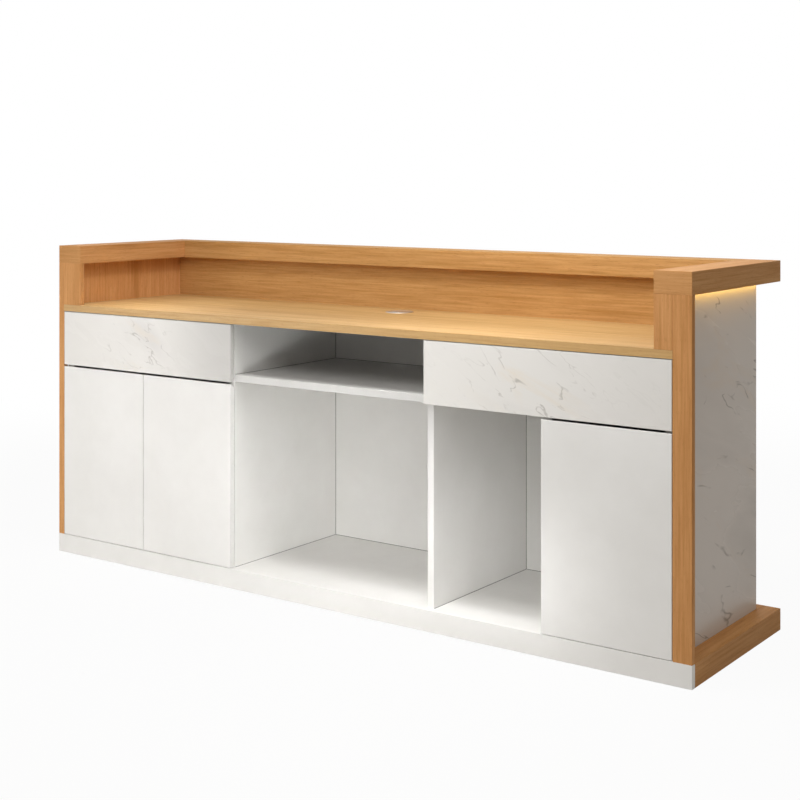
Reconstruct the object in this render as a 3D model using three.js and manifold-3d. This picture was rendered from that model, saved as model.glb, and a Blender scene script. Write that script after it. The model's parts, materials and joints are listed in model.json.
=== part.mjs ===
// Reception desk with a raised cap rail, recessed marble-look cladding, two drawers and three doors.
// Millimetres. X runs along the desk, the staff side faces -Y, the visitors stand at +Y, Z is up.
// The origin is on the floor, under the middle of the desk.

import * as THREE from 'three';
import { mergeVertices } from 'three/addons/utils/BufferGeometryUtils.js';
import Module from 'manifold-3d';

const wasm = await Module();
wasm.setup();

// Overall size
const deskLength = 2400;
const deskDepth = 600;
const deskHeight = 1067;
const worktopHeight = 864;

// Cap rail, base and posts
const railHeight = 61;
const armWidth = 108;
const visitorRailWidth = 95;
const baseHeight = 62;
const baseRebate = 10;
const plinthThickness = 18;
const postThickness = 18;
const leftPostWidth = 25;
const rightPostWidth = 55;

// Boards
const carcassBoard = 22;
const worktopBoard = 25;
const backBoard = 12;
const claddingBoard = 8;
const visitorReveal = 46;
const housingDepth = 2;
const boardArris = 0.75;

// Fronts
const cabinetWidth = 784;
const frontBoard = 18;
const frontGap = 2;
const doorGap = 3;
const bumperGap = 3;
const drawerFrontHeight = 183;
const gripGap = 7;
const gripBevelDepth = 11;
const gripBevelHeight = 15;

// Drawer boxes
const drawerBoard = 15;
const drawerBottomBoard = 5;
const drawerBottomRise = 10;
const drawerGroove = 6;
const drawerClearBelow = 10;
const drawerClearAbove = 28;
const drawerClearBehind = 64;

// Drawer runners: a fixed channel on the carcass and a sliding channel on the drawer
const runnerWidth = 13;
const runnerHeight = 38;
const runnerSteel = 1.5;
const runnerFlange = 10;
const runnerRise = 40;
const runnerInset = 2;

// Concealed cup hinges
const cupRadius = 17.5;
const cupDepth = 12;
const cupWall = 1.25;
const cupFromEdge = 22.5;
const cupRim = 1.5;
const hingePlate = 1;
const cupWingSpan = 60;
const cupWingWidth = 16;
const cupScrewSpan = 48;
const hingeInset = 90;
const hingeArmWidth = 14;
const hingeArmHeight = 10.5;
const hingeArmLength = 52;
const hingeArmSteel = 1.5;
const hingeArmToe = 1;
const hingeNoseHeight = 6;
const hingeNoseRelief = 1.5;
const hingeShoulder = 9.25;
const hingeSlotLength = 10;
const hingeSlotWidth = 5.5;
const mountPlate = 2;
const mountPlateWidth = 20;
const mountPlateSpan = 50;
const mountBossWidth = 8;
const mountScrewSpan = 33;
const mountScrewInset = 37;
const hingeScrewRadius = 2;

// Light strip under the cap rail
const lightWidth = 12;
const lightHeight = 8;
const lightStandOff = 6;

// Cable grommet
const grommetX = -36;
const grommetFromUpstand = 109;
const grommetHoleRadius = 40;
const grommetFlangeRadius = 46;
const grommetFlange = 4;
const grommetRecess = 2;
const grommetEase = 1.5;
const grommetWall = 2.5;
const grommetLedge = 4;
const capThickness = 3;
const capEase = 0.75;
const cableSlotWidth = 26;
const cableSlotDepth = 16;

// Clearances
const fitGap = 0.25;
const seatGap = 0.3;
const frontRelief = 0.5;

// Facets of round pieces, and how near two corners are taken as one
const roundSides = 24;
const grommetSides = 48;
const screwSides = 12;
const weldDistance = 1e-4;

// Main planes
const leftEnd = -deskLength / 2;
const rightEnd = deskLength / 2;
const staffFace = -deskDepth / 2;
const visitorFace = deskDepth / 2;
const postBack = staffFace + postThickness;
const plinthBack = staffFace + plinthThickness;
const frontBack = staffFace + frontBoard;
const carcassFront = frontBack + bumperGap;
const claddingFront = Math.max(postBack, frontBack + hingePlate) + frontRelief;
const claddingBack = visitorFace - visitorReveal;
const backBoardBack = claddingBack - claddingBoard;
const backBoardFace = backBoardBack - backBoard;

const leftPostFace = leftEnd + leftPostWidth;
const leftSideOuter = leftPostFace + claddingBoard;
const leftSideInner = leftSideOuter + carcassBoard;
const rightPostFace = rightEnd - rightPostWidth;
const rightSideOuter = rightPostFace - claddingBoard;
const rightSideInner = rightSideOuter - carcassBoard;
const kneeLeft = leftPostFace + cabinetWidth;
const kneeRight = rightPostFace - cabinetWidth;
const leftCabinetInner = kneeLeft - carcassBoard;
const rightCabinetInner = kneeRight + carcassBoard;
const leftDoorMeeting = (leftPostFace + kneeLeft) / 2;
const nicheRight = (kneeRight + rightPostFace) / 2;
const leftArmFace = leftEnd + armWidth;
const rightArmFace = rightEnd - armWidth;
const railFace = visitorFace - visitorRailWidth;

const worktopUnderside = worktopHeight - worktopBoard;
const railUnderside = deskHeight - railHeight;
const drawerFrontTop = worktopUnderside - frontGap;
const drawerFrontBottom = drawerFrontTop - drawerFrontHeight;
const doorTop = drawerFrontBottom - gripGap;
const doorBottom = baseHeight + frontGap;
const doorHeight = doorTop - doorBottom;
const midBoardTop = drawerFrontBottom + carcassBoard;

// Boards that stand on the worktop, in plan
const standingBoards = {
  left_block: [[leftPostFace, leftArmFace], [staffFace, postBack]],
  right_block: [[rightArmFace, rightPostFace], [staffFace, postBack]],
  left_upstand: [[leftSideOuter, leftSideInner], [postBack, backBoardBack]],
  right_upstand: [[rightSideInner, rightSideOuter], [postBack, backBoardBack]],
  back_upstand: [[leftSideInner, rightSideInner], [backBoardFace, backBoardBack]],
};

const finishes = {
  wood: { color: 0xc8925a, roughness: 0.55, metalness: 0 },
  whiteBoard: { color: 0xeceae5, roughness: 0.5, metalness: 0 },
  marbleLook: { color: 0xe2ded8, roughness: 0.35, metalness: 0 },
  drawerBirch: { color: 0xd9c7a4, roughness: 0.6, metalness: 0 },
  zincSteel: { color: 0xb4b6b8, roughness: 0.35, metalness: 1 },
  nickelSteel: { color: 0xc4c2bd, roughness: 0.25, metalness: 1 },
  satinAluminium: { color: 0xb9b8b4, roughness: 0.3, metalness: 1 },
  warmLight: { color: 0xffe2a8, roughness: 0.6, metalness: 0 },
};

const desk = new THREE.Group();

function place(parent, name, finish, geometry, x = 0, y = 0, z = 0) {
  const material = new THREE.MeshStandardMaterial({ ...finish, flatShading: true });
  const mesh = new THREE.Mesh(geometry, material);
  mesh.name = name;
  mesh.position.set(x, y, z);
  parent.add(mesh);
  return mesh;
}

function subGroup(x, y, z) {
  const group = new THREE.Group();
  group.position.set(x, y, z);
  desk.add(group);
  return group;
}

// Joining and cutting of closed geometries
function solidOf(geometry) {
  const bare = new THREE.BufferGeometry();
  bare.setAttribute('position', geometry.getAttribute('position').clone());
  if (geometry.index) bare.setIndex(geometry.index.clone());
  const merged = mergeVertices(bare, weldDistance);
  const vertProperties = new Float32Array(merged.getAttribute('position').array);
  const triVerts = new Uint32Array(merged.index.array);
  return new wasm.Manifold(new wasm.Mesh({ numProp: 3, vertProperties, triVerts }));
}

function geometryOf(solid) {
  const mesh = solid.getMesh();
  const positions = new Float32Array(mesh.vertProperties);
  const triangles = new Uint32Array(mesh.triVerts);
  const geometry = new THREE.BufferGeometry();
  geometry.setAttribute('position', new THREE.BufferAttribute(positions, 3));
  geometry.setIndex(new THREE.BufferAttribute(triangles, 1));
  return geometry;
}

function cut(geometry, ...tools) {
  const rest = tools.reduce((solid, tool) => solid.subtract(solidOf(tool)), solidOf(geometry));
  return geometryOf(rest);
}

function join(geometry, ...others) {
  const whole = others.reduce((solid, other) => solid.add(solidOf(other)), solidOf(geometry));
  return geometryOf(whole);
}

// A board centred on its own origin, with all its edges eased
function board(width, depth, height) {
  const x = width / 2;
  const y = depth / 2;
  const outline = new THREE.Shape();
  outline.moveTo(boardArris - x, -y);
  outline.lineTo(x - boardArris, -y);
  outline.lineTo(x, boardArris - y);
  outline.lineTo(x, y - boardArris);
  outline.lineTo(x - boardArris, y);
  outline.lineTo(boardArris - x, y);
  outline.lineTo(-x, y - boardArris);
  outline.lineTo(-x, boardArris - y);
  outline.closePath();
  return easedExtrusion(outline, height).translate(0, 0, -height / 2);
}

// An outline raised from z = 0, with both rims eased by the board arris
function easedExtrusion(outline, height) {
  const geometry = new THREE.ExtrudeGeometry(outline, {
    depth: height - 2 * boardArris,
    bevelThickness: boardArris,
    bevelSize: boardArris,
    bevelOffset: -boardArris,
    bevelSegments: 1,
    curveSegments: roundSides,
  });
  return geometry.translate(0, 0, boardArris);
}

function extrusion(outline, height) {
  return new THREE.ExtrudeGeometry(outline, {
    depth: height,
    bevelEnabled: false,
    curveSegments: roundSides / 2,
  });
}

// An outline drawn in X and Z, drawn out along Y from nearY to farY
function profileAlongY(outline, nearY, farY) {
  return extrusion(outline, farY - nearY).rotateX(Math.PI / 2).translate(0, farY, 0);
}

function polygon(points) {
  return new THREE.Shape(points.map(([x, y]) => new THREE.Vector2(x, y)));
}

// A slot outline with round ends, its length along Y
function obround(length, width) {
  const radius = width / 2;
  const reach = length / 2 - radius;
  const outline = new THREE.Shape();
  outline.absarc(0, reach, radius, 0, Math.PI);
  outline.absarc(0, -reach, radius, Math.PI, 2 * Math.PI);
  return outline;
}

function placeBoard(name, finish, [x0, x1], [y0, y1], [z0, z1]) {
  const geometry = board(x1 - x0, y1 - y0, z1 - z0);
  return place(desk, name, finish, geometry, (x0 + x1) / 2, (y0 + y1) / 2, (z0 + z1) / 2);
}

// Base: white plinth in front, wood rails on the other sides, rebated for the deck
function addBase() {
  const deckUnderside = baseHeight - carcassBoard;
  const deckX = [leftSideInner - baseRebate, rightSideInner + baseRebate];
  const deckY = [plinthBack, backBoardFace + baseRebate];
  const rebate = new THREE.BoxGeometry(deckX[1] - deckX[0], deckY[1] - deckY[0], 2 * carcassBoard);
  rebate.translate((deckX[0] + deckX[1]) / 2, (deckY[0] + deckY[1]) / 2, baseHeight);

  const white = finishes.whiteBoard;
  placeBoard('plinth_front', white, [leftEnd, rightEnd], [staffFace, plinthBack], [0, baseHeight]);
  placeBoard('bottom_board', white, deckX, deckY, [deckUnderside, baseHeight]);
  const rails = {
    base_left: [[leftEnd, leftSideInner], [plinthBack, visitorFace]],
    base_right: [[rightSideInner, rightEnd], [plinthBack, visitorFace]],
    base_visitor: [[leftSideInner, rightSideInner], [backBoardFace, visitorFace]],
  };
  for (const [name, [[x0, x1], [y0, y1]]] of Object.entries(rails)) {
    const x = (x0 + x1) / 2;
    const y = (y0 + y1) / 2;
    const z = baseHeight / 2;
    const rail = cut(board(x1 - x0, y1 - y0, baseHeight), rebate.clone().translate(-x, -y, -z));
    place(desk, name, finishes.wood, rail, x, y, z);
  }
}

// White carcass: end walls, knee-space walls, niche wall, back, shelf and boards under the drawers
function addCarcass() {
  const depth = [carcassFront, backBoardFace];
  const fullDepth = [carcassFront, backBoardBack];
  const backDepth = [backBoardFace, backBoardBack];
  const wallHeight = [baseHeight, worktopUnderside];
  const lowHeight = [baseHeight, drawerFrontBottom];
  const midHeight = [drawerFrontBottom, midBoardTop];
  const white = finishes.whiteBoard;
  placeBoard('left_side_panel', white, [leftSideOuter, leftSideInner], fullDepth, wallHeight);
  placeBoard('right_side_panel', white, [rightSideInner, rightSideOuter], fullDepth, wallHeight);
  placeBoard('knee_left_panel', white, [leftCabinetInner, kneeLeft], depth, wallHeight);
  placeBoard('knee_right_panel', white, [kneeRight, rightCabinetInner], depth, wallHeight);
  placeBoard('back_panel', white, [leftSideInner, rightSideInner], backDepth, wallHeight);
  placeBoard('niche_partition', white, [nicheRight, nicheRight + carcassBoard], depth, lowHeight);
  placeBoard('knee_shelf', white, [kneeLeft, kneeRight], depth, midHeight);
  placeBoard('left_mid_board', white, [leftSideInner, leftCabinetInner], depth, midHeight);
  placeBoard('right_mid_board', white, [rightCabinetInner, rightSideInner], depth, midHeight);
}

// Worktop: full width between the posts at the front, narrower between the claddings behind them,
// housed for the boards that stand on it and for the flange of the cable grommet
function addWorktop() {
  const grommetY = backBoardFace - grommetFromUpstand;
  const outline = polygon([
    [leftPostFace, staffFace],
    [rightPostFace, staffFace],
    [rightPostFace, postBack],
    [rightSideOuter, postBack],
    [rightSideOuter, backBoardBack],
    [leftSideOuter, backBoardBack],
    [leftSideOuter, postBack],
    [leftPostFace, postBack],
  ]);
  const hole = new THREE.Path();
  hole.absarc(grommetX, grommetY, grommetHoleRadius, 0, 2 * Math.PI, true);
  outline.holes.push(hole);
  const housings = Object.values(standingBoards).map(([[x0, x1], [y0, y1]]) => {
    const width = x1 - x0 + 2 * fitGap;
    const depth = y1 - y0 + 2 * fitGap;
    const housing = new THREE.BoxGeometry(width, depth, 2 * housingDepth);
    return housing.translate((x0 + x1) / 2, (y0 + y1) / 2, worktopBoard);
  });
  const seatRadius = grommetFlangeRadius + fitGap;
  const seat = new THREE.CylinderGeometry(seatRadius, seatRadius, 2 * grommetRecess, grommetSides);
  seat.rotateX(Math.PI / 2).translate(grommetX, grommetY, worktopBoard);
  const top = cut(easedExtrusion(outline, worktopBoard), seat, ...housings);
  place(desk, 'worktop', finishes.wood, top, 0, 0, worktopUnderside);
}

// Posts, blocks and upstands carry the cap rail
function addUpperFrame() {
  const { wood } = finishes;
  const postDepth = [staffFace, postBack];
  const postHeight = [baseHeight, railUnderside];
  const standingHeight = [worktopHeight - housingDepth, railUnderside];
  placeBoard('left_post', wood, [leftEnd, leftPostFace], postDepth, postHeight);
  placeBoard('right_post', wood, [rightPostFace, rightEnd], postDepth, postHeight);
  for (const [name, [width, depth]] of Object.entries(standingBoards)) {
    placeBoard(name, wood, width, depth, standingHeight);
  }
}

function addCladding() {
  const height = [baseHeight, railUnderside];
  const sideDepth = [claddingFront, claddingBack];
  const backDepth = [backBoardBack, claddingBack];
  const stone = finishes.marbleLook;
  placeBoard('left_marble_panel', stone, [leftPostFace, leftSideOuter], sideDepth, height);
  placeBoard('right_marble_panel', stone, [rightSideOuter, rightPostFace], sideDepth, height);
  placeBoard('visitor_marble_panel', stone, [leftSideOuter, rightSideOuter], backDepth, height);
}

// The light strip runs round the outside of the cladding; grown is how far its outline is let out
function lightOutline(grown) {
  const near = lightStandOff - grown;
  const far = lightStandOff + lightWidth + grown;
  const front = postBack + lightStandOff - grown;
  return polygon([
    [rightPostFace + near, front],
    [rightPostFace + far, front],
    [rightPostFace + far, claddingBack + far],
    [leftPostFace - far, claddingBack + far],
    [leftPostFace - far, front],
    [leftPostFace - near, front],
    [leftPostFace - near, claddingBack + near],
    [rightPostFace + near, claddingBack + near],
  ]);
}

// Cap rail: two arms and the visitor rail, grooved underneath for the light strip
function addCapRail() {
  const groove = extrusion(lightOutline(fitGap), 2 * lightHeight);
  groove.translate(0, 0, railUnderside - lightHeight);
  const members = {
    left_arm: [[leftEnd, leftArmFace], [staffFace, visitorFace]],
    right_arm: [[rightArmFace, rightEnd], [staffFace, visitorFace]],
    visitor_rail: [[leftArmFace, rightArmFace], [railFace, visitorFace]],
  };
  for (const [name, [[x0, x1], [y0, y1]]] of Object.entries(members)) {
    const x = (x0 + x1) / 2;
    const y = (y0 + y1) / 2;
    const z = railUnderside + railHeight / 2;
    const member = cut(board(x1 - x0, y1 - y0, railHeight), groove.clone().translate(-x, -y, -z));
    place(desk, name, finishes.wood, member, x, y, z);
  }
  const strip = extrusion(lightOutline(0), lightHeight);
  place(desk, 'led_strip', finishes.warmLight, strip, 0, 0, railUnderside);
}

// Cable grommet: a flanged sleeve in the worktop, and a slotted cap that turns on its inner ledge
function addGrommet() {
  const flangeUnderside = worktopHeight - grommetRecess;
  const group = subGroup(grommetX, backBoardFace - grommetFromUpstand, flangeUnderside);
  const sleeveBottom = worktopUnderside - flangeUnderside;
  const sleeveRadius = grommetHoleRadius - 2 * fitGap;
  const seatRadius = sleeveRadius - grommetWall;
  const boreRadius = seatRadius - grommetLedge;
  const seatHeight = grommetFlange - capThickness;
  const sleeve = lathe([
    [boreRadius, sleeveBottom],
    [sleeveRadius, sleeveBottom],
    [sleeveRadius, 0],
    [grommetFlangeRadius, 0],
    [grommetFlangeRadius, grommetFlange - grommetEase],
    [grommetFlangeRadius - grommetEase, grommetFlange],
    [seatRadius, grommetFlange],
    [seatRadius, seatHeight],
    [boreRadius, seatHeight],
    [boreRadius, sleeveBottom],
  ], grommetSides);
  place(group, 'grommet_sleeve', finishes.satinAluminium, sleeve.rotateX(Math.PI / 2));

  const capRadius = seatRadius - seatGap;
  const disc = lathe([
    [0, 0],
    [capRadius, 0],
    [capRadius, capThickness - capEase],
    [capRadius - capEase, capThickness],
    [0, capThickness],
  ], grommetSides);
  const slot = new THREE.BoxGeometry(cableSlotWidth, 2 * cableSlotDepth, 4 * capThickness);
  const cap = cut(disc.rotateX(Math.PI / 2), slot.translate(0, -capRadius, 0));
  place(group, 'grommet_cap', finishes.satinAluminium, cap, 0, 0, seatHeight);
}

function lathe(profile, sides) {
  const points = profile.map(([radius, height]) => new THREE.Vector2(radius, height));
  return new THREE.LatheGeometry(points, sides);
}

// A drawer: front, open box and bottom panel, with a runner on each side
function addDrawer(name, [frontLeft, frontRight], [insideLeft, insideRight]) {
  const middle = (insideLeft + insideRight) / 2;
  const group = subGroup(middle, staffFace, drawerFrontBottom);
  const boxWidth = insideRight - insideLeft - 2 * runnerWidth;
  const boxDepth = backBoardFace - drawerClearBehind - frontBack;
  const boxBottom = carcassBoard + drawerClearBelow;
  const boxHeight = worktopUnderside - midBoardTop - drawerClearBelow - drawerClearAbove;

  const front = gripFront(frontRight - frontLeft, drawerFrontHeight, -1);
  place(group, `${name}_front`, finishes.marbleLook, front, (frontLeft + frontRight) / 2 - middle);

  const bottomWidth = boxWidth - 2 * drawerBoard + 2 * drawerGroove;
  const bottomDepth = boxDepth - 2 * drawerBoard + 2 * drawerGroove;
  const grooveHeight = drawerBottomBoard + 2 * fitGap;
  const groove = new THREE.BoxGeometry(bottomWidth, bottomDepth, grooveHeight);
  groove.translate(0, 0, drawerBottomRise + drawerBottomBoard / 2);
  const box = cut(extrusion(boxOutline(boxWidth, boxDepth), boxHeight), groove);
  const boxY = frontBoard + boxDepth / 2;
  place(group, `${name}_box`, finishes.drawerBirch, box, 0, boxY, boxBottom);
  const panel = board(bottomWidth - 2 * fitGap, bottomDepth - 2 * fitGap, drawerBottomBoard);
  const panelZ = boxBottom + drawerBottomRise + drawerBottomBoard / 2;
  place(group, `${name}_bottom`, finishes.drawerBirch, panel, 0, boxY, panelZ);

  const runnerZ = boxBottom + runnerRise;
  const runnerNear = frontBoard + bumperGap + runnerInset;
  const runnerFar = frontBoard + boxDepth;
  for (const [side, outward] of [['left', -1], ['right', 1]]) {
    const wall = outward * (insideRight - insideLeft) / 2;
    const rail = profileAlongY(railProfile(-outward), runnerNear, runnerFar);
    const slider = profileAlongY(sliderProfile(-outward), runnerNear, runnerFar - runnerInset);
    place(group, `${name}_rail_${side}`, finishes.zincSteel, rail, wall, 0, runnerZ);
    place(group, `${name}_slider_${side}`, finishes.zincSteel, slider, wall, 0, runnerZ);
  }
}

// The four walls of a drawer box in plan
function boxOutline(width, depth) {
  const outline = rectangle(width, depth);
  outline.holes.push(rectangle(width - 2 * drawerBoard, depth - 2 * drawerBoard));
  return outline;
}

function rectangle(width, depth) {
  const x = width / 2;
  const y = depth / 2;
  return polygon([[-x, -y], [x, -y], [x, y], [-x, y]]);
}

// Runner sections, drawn from the carcass wall inwards: a channel, and a smaller one facing it
function railProfile(inward) {
  const outer = runnerHeight / 2;
  const inner = outer - runnerSteel;
  return polygon([
    [0, -outer],
    [inward * runnerFlange, -outer],
    [inward * runnerFlange, -inner],
    [inward * runnerSteel, -inner],
    [inward * runnerSteel, inner],
    [inward * runnerFlange, inner],
    [inward * runnerFlange, outer],
    [0, outer],
  ]);
}

function sliderProfile(inward) {
  const outer = runnerHeight / 2 - runnerSteel - fitGap;
  const inner = outer - runnerSteel;
  const web = runnerWidth - runnerSteel;
  const lip = runnerWidth - runnerFlange;
  return polygon([
    [inward * runnerWidth, -outer],
    [inward * runnerWidth, outer],
    [inward * lip, outer],
    [inward * lip, inner],
    [inward * web, inner],
    [inward * web, -inner],
    [inward * lip, -inner],
    [inward * lip, -outer],
  ]);
}

// A front standing on z = 0 with its face at y = 0, bevelled for the fingers behind one long edge:
// the top edge where edge is 1, the bottom edge where it is -1
function gripFront(width, height, edge) {
  const middle = height / 2;
  const tip = middle + edge * middle;
  const over = 2 * boardArris;
  const slope = gripBevelHeight / gripBevelDepth;
  const bevel = polygon([
    [frontBoard - gripBevelDepth - over, tip + edge * over * slope],
    [frontBoard + over, tip + edge * over * slope],
    [frontBoard + over, tip - edge * (gripBevelHeight + over * slope)],
  ]);
  const prism = extrusion(bevel, 2 * width);
  prism.rotateX(Math.PI / 2).rotateZ(Math.PI / 2).translate(-width, 0, 0);
  const blank = board(width, frontBoard, height).translate(0, frontBoard / 2, middle);
  return cut(blank, prism);
}

// A door hung on one edge, with two cup hinges on the wall behind that edge
// reach is 1 where the door lies to the right of its hinged edge, -1 where it lies to the left
function addDoor(name, hingeName, hingedEdge, freeEdge, wallFace) {
  const reach = Math.sign(freeEdge - hingedEdge);
  const width = Math.abs(freeEdge - hingedEdge);
  const group = subGroup(hingedEdge, staffFace, doorBottom);
  const cupX = reach * cupFromEdge;
  const hingeHeights = { lower: hingeInset, upper: doorHeight - hingeInset };

  const boreDepth = cupDepth + fitGap;
  const bores = Object.values(hingeHeights).map((z) => {
    const bore = new THREE.CylinderGeometry(cupRadius, cupRadius, 2 * boreDepth, roundSides);
    return bore.translate(cupX, frontBoard, z);
  });
  const leaf = gripFront(width, doorHeight, 1).translate(reach * width / 2, 0, 0);
  place(group, name, finishes.whiteBoard, cut(leaf, ...bores));
  const armX = wallFace - hingedEdge;
  const armY = frontBoard + bumperGap;
  const nickel = finishes.nickelSteel;
  for (const [level, z] of Object.entries(hingeHeights)) {
    place(group, `${hingeName}_cup_${level}`, nickel, hingeCup(), cupX, frontBoard, z);
    place(group, `${hingeName}_arm_${level}`, nickel, hingeArm(reach), armX, armY, z);
  }
}

// Cup: a dish pressed into the door from behind, with two screwed wings above and below it
function hingeCup() {
  const outer = cupRadius - fitGap;
  const inner = outer - cupWall;
  const dish = lathe([
    [0, -cupDepth],
    [outer, -cupDepth],
    [outer, 0],
    [cupRadius + cupRim, 0],
    [cupRadius + cupRim, hingePlate],
    [0, hingePlate],
  ], roundSides);
  const hollow = new THREE.CylinderGeometry(inner, inner, 2 * cupDepth, roundSides);
  hollow.translate(0, cupWall, 0);
  const wings = profileAlongY(obround(cupWingSpan, cupWingWidth), 0, hingePlate);
  const screws = [-1, 1].map((end) => {
    return screwHole(hingePlate).translate(0, 0, end * cupScrewSpan / 2);
  });
  return cut(join(dish, wings), hollow, ...screws);
}

// A hole along Y through a plate that has one face at y = 0
function screwHole(plate) {
  return new THREE.CylinderGeometry(hingeScrewRadius, hingeScrewRadius, 4 * plate, screwSides);
}

// Arm: a folded channel on a screwed plate, its solid nose reaching forward into the cup
// The nose is bevelled on the wall's side, where the cup's rim swings past it
function hingeArm(inward) {
  const nose = -(bumperGap + cupDepth - cupWall - seatGap);
  const noseTop = hingeArmToe + hingeNoseHeight;
  const side = polygon([
    [inward * hingeArmToe, nose + 2 * hingeNoseRelief],
    [inward * (hingeArmToe + hingeNoseRelief), nose],
    [inward * noseTop, nose],
    [inward * noseTop, 0],
    [inward * hingeArmHeight, hingeShoulder],
    [inward * hingeArmHeight, hingeArmLength - mountPlate],
    [inward * (hingeArmHeight - mountPlate), hingeArmLength],
    [inward * hingeArmToe, hingeArmLength],
  ]);
  const blank = extrusion(side, hingeArmWidth).translate(0, 0, -hingeArmWidth / 2);

  const roof = hingeArmHeight - hingeArmSteel;
  const channelLength = 2 * (hingeArmLength - hingeShoulder);
  const channelWidth = hingeArmWidth - 2 * hingeArmSteel;
  const channel = new THREE.BoxGeometry(2 * roof, channelLength, channelWidth);
  channel.translate(0, hingeArmLength, 0);
  const boss = new THREE.BoxGeometry(roof, mountPlateWidth, mountBossWidth);
  boss.translate(inward * roof / 2, mountScrewInset, 0);
  const plate = extrusion(obround(mountPlateSpan, mountPlateWidth), mountPlate);
  plate.translate(0, 0, -mountPlate / 2).rotateX(Math.PI / 2).rotateZ(Math.PI / 2);
  plate.translate(inward * mountPlate / 2, mountScrewInset, 0);

  const slot = extrusion(obround(hingeSlotLength, hingeSlotWidth), 2 * hingeArmSteel);
  slot.translate(0, 0, -hingeArmSteel).rotateY(Math.PI / 2);
  slot.translate(inward * hingeArmHeight, mountScrewInset, 0);
  const screws = [-1, 1].map((end) => {
    const hole = screwHole(mountPlate).rotateZ(Math.PI / 2);
    return hole.translate(0, mountScrewInset, end * mountScrewSpan / 2);
  });
  return cut(join(cut(blank, channel), boss, plate), slot, ...screws);
}

addBase();
addCarcass();
addWorktop();
addUpperFrame();
addCladding();
addCapRail();
addGrommet();
const frontsLeft = leftPostFace + frontGap;
const frontsRight = rightPostFace - frontGap;
const outerDoorFree = leftDoorMeeting - doorGap / 2;
const innerDoorFree = leftDoorMeeting + doorGap / 2;
addDrawer('left_drawer', [frontsLeft, kneeLeft], [leftSideInner, leftCabinetInner]);
addDrawer('right_drawer', [kneeRight, frontsRight], [rightCabinetInner, rightSideInner]);
addDoor('left_outer_door', 'left_outer_hinge', frontsLeft, outerDoorFree, leftSideInner);
addDoor('left_inner_door', 'left_inner_hinge', kneeLeft, innerDoorFree, leftCabinetInner);
addDoor('right_door', 'right_hinge', frontsRight, nicheRight, rightSideInner);

export default desk;
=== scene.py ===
import json
import math

import bmesh
import bpy
from mathutils import Matrix, Vector


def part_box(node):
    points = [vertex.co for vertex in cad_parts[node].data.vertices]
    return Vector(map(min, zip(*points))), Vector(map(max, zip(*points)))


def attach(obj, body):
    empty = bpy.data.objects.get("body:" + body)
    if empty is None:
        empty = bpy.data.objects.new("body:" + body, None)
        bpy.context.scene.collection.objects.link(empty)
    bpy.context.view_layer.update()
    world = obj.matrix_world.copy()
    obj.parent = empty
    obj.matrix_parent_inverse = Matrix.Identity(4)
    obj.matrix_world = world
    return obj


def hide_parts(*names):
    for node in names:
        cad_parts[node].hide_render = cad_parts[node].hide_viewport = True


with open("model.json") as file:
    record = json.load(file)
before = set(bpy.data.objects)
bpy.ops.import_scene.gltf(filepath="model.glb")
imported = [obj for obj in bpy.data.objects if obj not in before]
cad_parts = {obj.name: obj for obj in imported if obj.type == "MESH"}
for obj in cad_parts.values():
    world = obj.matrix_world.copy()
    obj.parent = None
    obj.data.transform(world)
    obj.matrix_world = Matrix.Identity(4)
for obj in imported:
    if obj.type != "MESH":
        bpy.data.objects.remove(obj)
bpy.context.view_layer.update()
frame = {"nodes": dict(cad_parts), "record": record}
nodes = frame["nodes"]

mm = 0.001  # the new pieces are set out in millimetres
up = Vector((0, 0, 1))
rightwards = Vector((1, 0, 0))  # as the staff see the desk
inwards = Vector((0, 1, 0))  # from the staff side into the desk


# Node helpers

noiseMiddle = 0.5
noiseSpan = (0.3, 0.7)  # where most of a noise lies
squareOn = 0.7  # least part of a normal along an axis for a face that looks that way


def startMaterial(name):
    material = bpy.data.materials.new(name)
    material.use_nodes = True
    tree = material.node_tree
    return material, tree, tree.nodes["Principled BSDF"]


def addNode(tree, kind, inputs=None, **settings):
    node = tree.nodes.new("ShaderNode" + kind)
    for name, value in settings.items():
        setattr(node, name, value)
    for socket, value in (inputs or {}).items():
        feed(tree, node.inputs[socket], value)
    return node


def feed(tree, socket, value):
    if isinstance(value, bpy.types.NodeSocket):
        tree.links.new(value, socket)
    else:
        socket.default_value = value


def calculate(tree, operation, first, second=0.0):
    return addNode(tree, "Math", {0: first, 1: second}, operation=operation).outputs[0]


def calculateVector(tree, operation, first, second=(0, 0, 0)):
    node = addNode(tree, "VectorMath", {0: first, 1: second}, operation=operation)
    return node.outputs["Value" if operation in ("DOT_PRODUCT", "LENGTH") else "Vector"]


def remap(tree, value, spanIn, spanOut=(0.0, 1.0), smooth=False):
    inputs = {"Value": value, "From Min": spanIn[0], "From Max": spanIn[1]}
    inputs.update({"To Min": spanOut[0], "To Max": spanOut[1]})
    easing = "SMOOTHSTEP" if smooth else "LINEAR"
    return addNode(tree, "MapRange", inputs, interpolation_type=easing).outputs["Result"]


def coordinate(tree, kind, axis):
    place = addNode(tree, "TexCoord").outputs[kind]
    return addNode(tree, "SeparateXYZ", {0: place}).outputs[axis]


def objectPoint(tree, turn=(0, 0, 0), scale=(1, 1, 1)):
    place = addNode(tree, "TexCoord").outputs["Object"]
    return addNode(tree, "Mapping", {"Vector": place, "Rotation": turn, "Scale": scale}).outputs[0]


def noise(tree, point, pattern, finer=1.0):
    inputs = {
        "Vector": point,
        "Scale": finer * pattern["perMetre"],
        "Detail": pattern["detail"],
        "Roughness": pattern["roughness"],
        "Distortion": pattern.get("distortion", 0.0),
    }
    return addNode(tree, "TexNoise", inputs).outputs["Fac"]


def ramp(tree, factor, stops, colours):
    node = addNode(tree, "ValToRGB", {"Fac": factor})
    points = node.color_ramp.elements
    while len(points) < len(stops):
        points.new(0.5)
    for point, stop, colour in zip(points, stops, colours):
        point.position = stop
        point.color = (*colour, 1)
    return node.outputs["Color"]


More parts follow.
